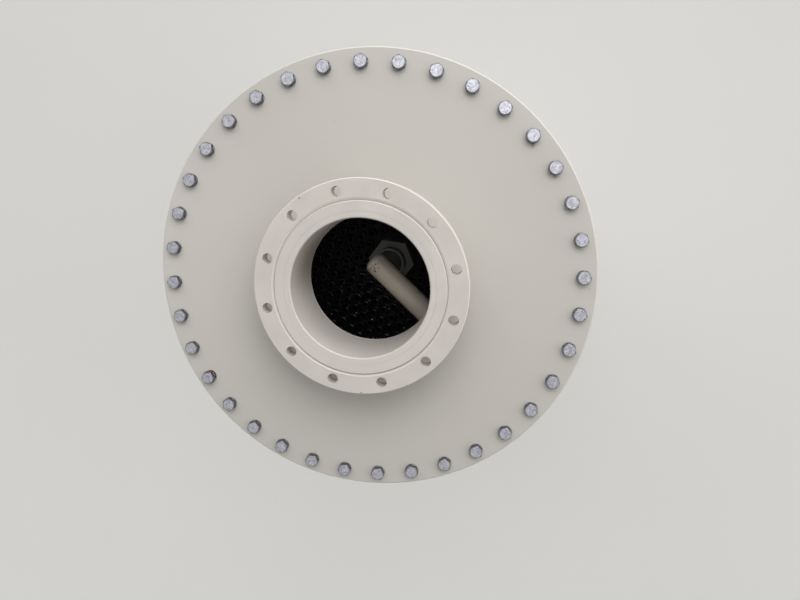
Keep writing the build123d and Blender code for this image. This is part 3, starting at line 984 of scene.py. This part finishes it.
def copies_on_lattice_tree(lattice):
    """Tree that stands a copy of an object on each tube."""
    tree, given = new_tree("copies on tube lattice", {**LATTICE_INPUTS, **COPY_INPUTS})
    return stand_copies(tree, given, add_lattice(tree, given, lattice))


def bolt_ring_tree():
    """Tree that stands a bolt in each hole of a joint."""
    tree, given = new_tree("bolt ring", {
        "Count": "Int", "Circle Radius": "Float", "First Angle": "Float", **COPY_INPUTS,
    })
    ring = add_node(
        tree, "GeometryNodeMeshCircle", {"Vertices": given["Count"], "Radius": given["Circle Radius"]}
    )
    return stand_copies(tree, given, ring, given["First Angle"])


def perforated_sheet_tree(lattice):
    """Tree of a round plate with a hole for each tube."""
    tree, given = new_tree("perforated sheet", {
        **LATTICE_INPUTS, "Radius": "Float", "Hole Radius": "Float", "Bottom": "Float",
        "Thickness": "Float", "Material": "Material",
    })
    rim = add_node(
        tree, "GeometryNodeCurvePrimitiveCircle", {"Resolution": PLATE_RIM, "Radius": given["Radius"]}
    )
    hole = add_node(
        tree, "GeometryNodeCurvePrimitiveCircle", {"Resolution": HOLE_SIDES, "Radius": given["Hole Radius"]}
    )
    holes = add_node(
        tree, "GeometryNodeInstanceOnPoints", {"Points": add_lattice(tree, given, lattice), "Instance": hole}
    )
    real = add_node(tree, "GeometryNodeRealizeInstances", holes)
    outlines = add_node(tree, "GeometryNodeJoinGeometry", rim)
    tree.links.new(real.outputs[0], outlines.inputs["Geometry"])
    face = add_node(tree, "GeometryNodeFillCurve", outlines)
    lift = add_node(tree, "ShaderNodeCombineXYZ", {"Z": given["Bottom"]})
    low_face = add_node(tree, "GeometryNodeTransform", {"Geometry": face, "Translation": lift})
    raised = add_node(
        tree, "GeometryNodeExtrudeMesh",
        {"Mesh": low_face, "Offset": ALONG_Z, "Offset Scale": given["Thickness"], "Individual": False},
        mode="FACES",
    )
    under = add_node(tree, "GeometryNodeFlipFaces", low_face)
    shell = add_node(tree, "GeometryNodeJoinGeometry", raised)
    tree.links.new(under.outputs[0], shell.inputs["Geometry"])
    closed = add_node(tree, "GeometryNodeMergeByDistance", {"Geometry": shell, "Distance": 0.00001})
    return finish_tree(tree, closed, given["Material"])


def weld_tree():
    """Tree that lays a rippled round bead along the edges of a mesh."""
    tree, given = new_tree("weld bead", {
        "Paths": "Geometry", "Bead Radius": "Float", "Ripple": "Float", "Ripple Share": "Float",
        "Material": "Material",
    })
    curve = add_node(tree, "GeometryNodeMeshToCurve", given["Paths"])
    step = add_node(tree, "ShaderNodeMath", given["Ripple"], RIPPLE_POINTS, operation="DIVIDE")
    even = add_node(tree, "GeometryNodeResampleCurve", {"Curve": curve, "Length": step}, mode="LENGTH")
    along = add_node(tree, "GeometryNodeSplineParameter").outputs["Length"]
    waves = add_node(tree, "ShaderNodeMath", along, given["Ripple"], operation="DIVIDE")
    phase = add_node(tree, "ShaderNodeMath", waves, math.tau, operation="MULTIPLY")
    swing = add_node(tree, "ShaderNodeMath", phase, operation="SINE")
    swell = add_node(tree, "ShaderNodeMath", swing, given["Ripple Share"], 1.0, operation="MULTIPLY_ADD")
    radii = add_node(tree, "GeometryNodeSetCurveRadius", {"Curve": even, "Radius": swell})
    profile = add_node(
        tree, "GeometryNodeCurvePrimitiveCircle", {"Resolution": BEAD_SIDES, "Radius": given["Bead Radius"]}
    )
    radius = add_node(tree, "GeometryNodeInputRadius")
    bead = add_node(
        tree, "GeometryNodeCurveToMesh",
        {"Curve": radii, "Profile Curve": profile, "Fill Caps": True, "Scale": radius},
    )
    smooth = add_node(tree, "GeometryNodeSetShadeSmooth", bead)
    return finish_tree(tree, smooth, given["Material"])


def side_ring_points(count, radius, level, x):
    """Points of a closed ring round a side nozzle. Its x is a number, or a function of y."""
    points = []
    for step in range(count):
        turn = math.tau * step / count
        y = radius * math.cos(turn)
        points.append((x(y) if callable(x) else x, y, level + radius * math.sin(turn)))
    return points


def nozzle_welds(nozzle):
    """Lines of the two beads of a side nozzle: where its pipe meets the body, and behind its flange."""
    flange, pipe, _, side, _ = nozzle
    body = half_width("shell")
    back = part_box(flange)[0].x if side > 0 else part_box(flange)[1].x
    measures = (half_width(pipe), middle(pipe).z)
    return [
        side_ring_points(SADDLE_RING, *measures, lambda y: side * math.sqrt(body ** 2 - y ** 2)),
        side_ring_points(NECK_RING, *measures, back),
    ]


def body_welds():
    """Lines of the beads on the body: behind its flanges, at the plate, the dish and the large necks."""
    body = half_width("shell")
    gas = half_width("gas_inlet_neck")
    outlet = half_width("liquid_outlet_neck")
    rings = [
        (body, low("upper_head_top_flange")), (body, high("upper_head_bottom_flange")),
        (body, low("shell_top_flange")), (body, high("support_plate")), (body, low("support_plate")),
        (body, high("shell_bottom_flange")), (body, low("lower_head_top_flange")),
        (body, high("lower_dished_end")), (gas, high("top_cover")), (gas, low("gas_inlet_flange")),
        (outlet, low("lower_dished_end")), (outlet, high("liquid_outlet_flange")),
    ]
    return [ring_points(BODY_RING, *ring) for ring in rings] + nozzle_welds(TAIL_GAS_NOZZLE)


def gusset_welds(half_thickness=0.006, height=0.150, reach=0.070):
    """Lines of the beads down both sides of each gusset and out along the plate."""
    body = half_width("shell")
    foot = high("support_plate")
    lines = []
    for number in range(GUSSETS):
        turn = Matrix.Rotation(math.tau * (number + 0.5) / GUSSETS, 4, "Z")
        for side in (-half_thickness, half_thickness):
            corner = [(body, side, foot + height), (body, side, foot), (body + reach, side, foot)]
            lines.append([turn @ Vector(place) for place in corner])
    return lines


def seam_lines(rise, radius):
    """Lines of the butt seams of the rolled sheet: a girth seam of the shell and one seam up each course."""
    body = half_width("shell") - radius + rise
    girth = (low("shell") + high("shell")) / 2
    courses = (
        (low("shell"), girth, 230.0), (girth, high("shell"), 100.0),
        (low("upper_head_barrel"), high("upper_head_barrel"), 250.0),
        (low("lower_head_barrel"), high("lower_head_barrel"), 120.0),
    )
    lines = []
    for bottom, top, azimuth in courses:
        lines.append([in_plan(math.radians(azimuth), body, level) for level in (bottom, top)])
    return [ring_points(BODY_RING, body, girth)], lines


def paths_mesh(name, closed, opened=()):
    """A mesh of edges only: closed loops and open lines."""
    points = []
    edges = []
    for path, loops in [(path, True) for path in closed] + [(path, False) for path in opened]:
        start = len(points)
        points += path
        edges += [(start + n, start + n + 1) for n in range(len(path) - 1)]
        if loops:
            edges.append((len(points) - 1, start))
    mesh = bpy.data.meshes.new(name)
    mesh.from_pydata(points, edges, [])
    return mesh


def settle(piece, slot, *nodes):
    """Ties a finished piece to the frame's body, in place of any nodes named. The slot is not used."""
    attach(piece, BODY)
    if nodes:
        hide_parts(*nodes)


class ABSORBER_OT_finish_body(bpy.types.Operator):
    """Give the cover, heads, shell, plate and gaskets their finishes"""

    bl_idname = "absorber.finish_body"
    bl_label = "Finish body"

    def execute(self, context):
        settings = context.scene.absorber
        cover_nodes(cream_sheet(settings.colours), *CREAM_NODES)
        cover_nodes(cream_plate(settings.colours), *PLATE_NODES)
        cover_nodes(gasket_rubber(settings.colours), *GASKET_NODES)
        cover_nodes(cover_sheet(settings), "top_cover")
        return {"FINISHED"}


class ABSORBER_OT_finish_nozzles(bpy.types.Operator):
    """Give the nozzle flanges their turned faces, and the liquid pipe its finish"""

    bl_idname = "absorber.finish_nozzles"
    bl_label = "Finish nozzles"

    def execute(self, context):
        settings = context.scene.absorber
        for flange, pipe, axis, _, step in NOZZLES:
            turned = turned_face(flange, axis, step, settings.colours)
            cover_nodes(turned, flange, pipe)
            if flange == "gas_inlet_flange":
                grooved = grooved_flange(flange, settings.groove)
                grooved.data.materials.append(turned)
                settle(grooved, "cream_polypropylene", flange)
        cover_nodes(extruded_pipe(settings.colours), "liquid_inlet_pipe")
        return {"FINISHED"}


class ABSORBER_OT_finish_bosses(bpy.types.Operator):
    """Give the hexagonal bosses and the splash cup their finishes, and plug the bosses' screws"""

    bl_idname = "absorber.finish_bosses"
    bl_label = "Finish bosses"

    def execute(self, context):
        settings = context.scene.absorber
        grey = boss_plastic(settings.colours)
        cover_nodes(grey, *BOSS_NODES)
        cover_nodes(cup_plastic(settings.colours), "splash_cup")
        plugs = new_piece("boss_plugs", plugs_mesh(settings.tubes.stay_circle, high("stay_bosses")))
        plugs.data.materials.append(grey)
        settle(plugs, "boss_polypropylene")
        return {"FINISHED"}


class ABSORBER_OT_add_tube_field(bpy.types.Operator):
    """Drill the tube sheets, stand the tubes between them and set a film head over each"""

    bl_idname = "absorber.add_tube_field"
    bl_label = "Add tube field"

    def execute(self, context):
        settings = context.scene.absorber
        tubes = settings.tubes
        lattice = lattice_tree()
        plate = perforated_sheet_tree(lattice)
        copies = copies_on_lattice_tree(lattice)
        shared = {**lattice_values(tubes), "Material": filled_plastic(settings.colours)}
        for node in ("upper_tube_sheet", "lower_tube_sheet"):
            sheet = grow("drilled_" + node, plate, {
                **shared, "Radius": half_width(node), "Hole Radius": tubes.hole / 2,
                "Bottom": low(node), "Thickness": high(node) - low(node),
            })
            settle(sheet, "graphite_polypropylene", node)
        head = new_piece("film_head", film_head_mesh(tubes))
        heads = grow("film_forming_heads", copies, {
            **shared, "Copy": head, "Level": high("upper_tube_sheet"), "Turn": math.tau, "Seed": tubes.seed,
        })
        settle(heads, "graphite_polypropylene", "film_heads")
        tube = new_piece("tube", tube_mesh(tubes, high("lower_tube_sheet"), low("upper_tube_sheet")))
        bundle = grow("tube_bundle", copies, {**shared, "Copy": tube, "Level": 0.0, "Turn": 0.0, "Seed": 0})
        settle(bundle, "graphite_polypropylene")
        bpy.data.objects.remove(head)
        bpy.data.objects.remove(tube)
        return {"FINISHED"}


class ABSORBER_OT_add_bolts(bpy.types.Operator):
    """Set the bolts, washers and nuts of the three body joints"""

    bl_idname = "absorber.add_bolts"
    bl_label = "Add bolts"

    def execute(self, context):
        settings = context.scene.absorber
        bolts = settings.bolts
        ring = bolt_ring_tree()
        shared = {
            "Count": bolts.count, "Circle Radius": bolts.circle / 2, "First Angle": bolts.first,
            "Turn": math.tau, "Material": zinc_plate(settings.colours),
        }
        joints = {
            "cover_bolts": (high("top_cover"), low("upper_head_top_flange")),
            "upper_tube_sheet_bolts": (high("upper_head_bottom_flange"), low("shell_top_flange")),
            "lower_tube_sheet_bolts": (high("shell_bottom_flange"), low("lower_head_top_flange")),
        }
        for number, (name, (top, bottom)) in enumerate(joints.items()):
            bolt = new_piece("bolt", bolt_mesh(bolts, top - bottom))
            piece = grow(name, ring, {**shared, "Copy": bolt, "Level": top, "Seed": bolts.seed + number})
            bpy.data.objects.remove(bolt)
            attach(piece, BODY)
        return {"FINISHED"}


class ABSORBER_OT_add_welds(bpy.types.Operator):
    """Lay the hot gas welds of the body, the necks, the gussets and the sheet seams"""

    bl_idname = "absorber.add_welds"
    bl_label = "Add welds"

    def execute(self, context):
        settings = context.scene.absorber
        welds = settings.welds
        bead = weld_tree()
        shared = {
            "Ripple": welds.ripple, "Ripple Share": welds.ripple_share,
            "Material": hot_gas_weld(settings.colours),
        }
        small_necks = [line for nozzle in SMALL_NOZZLES for line in nozzle_welds(nozzle)]
        seams = seam_lines(welds.seam_rise, welds.body_bead)
        groups = {
            "body_welds": (welds.body_bead, body_welds()),
            "neck_welds": (welds.neck_bead, small_necks),
            "gusset_welds": (welds.neck_bead, [], gusset_welds()),
            "sheet_seams": (welds.body_bead, *seams),
        }
        for name, (radius, *lines) in groups.items():
            piece = grow(name, bead, {**shared, "Bead Radius": radius}, paths_mesh(name, *lines))
            settle(piece, "cream_polypropylene")
        return {"FINISHED"}


def studio_world(studio, colours):
    """A pale world that dims towards one side, and shows the camera its plain colour."""
    world = bpy.data.worlds.new("soft studio")
    world.use_nodes = True
    tree = world.node_tree
    tree.nodes.clear()
    rays = add_node(tree, "ShaderNodeLightPath").outputs
    sight = add_node(tree, "ShaderNodeTexCoord").outputs["Generated"]
    toward = add_node(tree, "ShaderNodeVectorMath", sight, in_plan(studio.sky_from), operation="DOT_PRODUCT")
    # Metal and glass show the pale background, which only the far side dims
    ramps = []
    for start, end, dim, bright in (
        (-0.10, 0.14, studio.dim_sky, studio.bright_sky),
        (0.14, 0.50, 0.0, studio.lit_sky),
        (-0.10, 0.14, studio.far_glow, 1.0),
    ):
        ramps.append(add_node(
            tree, "ShaderNodeMapRange",
            {"Value": toward, "From Min": start, "From Max": end, "To Min": dim, "To Max": bright},
        ))
    sky, glow, mirrored = ramps
    light = add_node(tree, "ShaderNodeMath", sky, glow, operation="ADD")
    polished = add_node(
        tree, "ShaderNodeMath", rays["Is Glossy Ray"], rays["Is Transmission Ray"], operation="MAXIMUM"
    )
    shown = add_node(tree, "ShaderNodeMix", {0: polished, 2: light, 3: mirrored}, data_type="FLOAT")
    strength = add_node(
        tree, "ShaderNodeMix", {0: rays["Is Camera Ray"], 2: shown, 3: 1.0}, data_type="FLOAT"
    )
    back = add_node(tree, "ShaderNodeBackground", {"Color": colours.backdrop, "Strength": strength})
    add_node(tree, "ShaderNodeOutputWorld", back)
    return world


def studio_lamp(studio):
    """A large soft lamp beside the cover, which the camera doesn't see."""
    lamp = bpy.data.lights.new("soft key", "AREA")
    lamp.energy = studio.lamp
    lamp.size = studio.lamp_size
    key = new_piece("soft_key", lamp)
    key.rotation_euler = (math.pi / 2 - studio.lamp_rise, 0.0, studio.lamp_from + math.pi / 2)
    reach = studio.lamp_reach * math.cos(studio.lamp_rise)
    rise = studio.lamp_reach * math.sin(studio.lamp_rise)
    key.location = in_plan(studio.lamp_from, reach, high("top_cover") + rise)
    key.visible_camera = False


def studio_camera(studio):
    """The camera, over the cover and turned as the picture is."""
    lens = bpy.data.cameras.new("camera")
    lens.lens = studio.lens
    lens.clip_end = 200.0
    camera = new_piece("camera", lens)
    place = Vector(studio.camera)
    forward = (Vector(studio.aim) - place).normalized()
    right = forward.cross(in_plan(studio.up)).normalized()
    turn = Matrix((right, right.cross(forward), -forward)).transposed()
    camera.matrix_world = Matrix.Translation(place) @ turn.to_4x4()
    return camera


class ABSORBER_OT_add_stage(bpy.types.Operator):
    """Add the floor, the world, the lamp and the camera"""

    bl_idname = "absorber.add_stage"
    bl_label = "Add stage"

    def execute(self, context):
        settings = context.scene.absorber
        studio = settings.studio
        scene = context.scene
        half = studio.floor / 2
        level = cad_box[0][2]
        mesh = bpy.data.meshes.new("floor")
        mesh.from_pydata(
            [(-half, -half, level), (half, -half, level), (half, half, level), (-half, half, level)],
            [], [(0, 1, 2, 3)],
        )
        mesh.materials.append(studio_floor(settings.colours))
        new_piece("floor", mesh)
        scene.world = studio_world(studio, settings.colours)
        studio_lamp(studio)
        scene.camera = studio_camera(studio)
        scene.view_settings.view_transform = "Standard"
        return {"FINISHED"}


class ABSORBER_PT_panel(bpy.types.Panel):
    """Steps and sizes of the absorber"""

    bl_label = "Falling film absorber"
    bl_idname = "ABSORBER_PT_panel"
    bl_space_type = "VIEW_3D"
    bl_region_type = "UI"
    bl_category = "Absorber"

    def draw(self, context):
        for operator in OPERATORS:
            self.layout.operator(operator.bl_idname)
        settings = context.scene.absorber
        for group in AbsorberSettings.__annotations__:
            box = self.layout.box()
            box.label(text=group.capitalize())
            values = getattr(settings, group)
            for name in values.__annotations__:
                box.prop(values, name)


OPERATORS = (
    ABSORBER_OT_finish_body, ABSORBER_OT_finish_nozzles, ABSORBER_OT_finish_bosses,
    ABSORBER_OT_add_tube_field, ABSORBER_OT_add_bolts, ABSORBER_OT_add_welds, ABSORBER_OT_add_stage,
)
CLASSES = (
    AbsorberBolts, AbsorberGroove, AbsorberTubes, AbsorberWelds, AbsorberColours, AbsorberStudio,
    AbsorberSettings, *OPERATORS, ABSORBER_PT_panel,
)


def register():
    for item in CLASSES:
        bpy.utils.register_class(item)
    bpy.types.Scene.absorber = PointerProperty(type=AbsorberSettings)


def unregister():
    del bpy.types.Scene.absorber
    for item in reversed(CLASSES):
        bpy.utils.unregister_class(item)


def main():
    register()
    bpy.ops.absorber.finish_body()
    bpy.ops.absorber.finish_nozzles()
    bpy.ops.absorber.finish_bosses()
    bpy.ops.absorber.add_tube_field()
    bpy.ops.absorber.add_bolts()
    bpy.ops.absorber.add_welds()
    bpy.ops.absorber.add_stage()


if __name__ == "__main__":
    main()
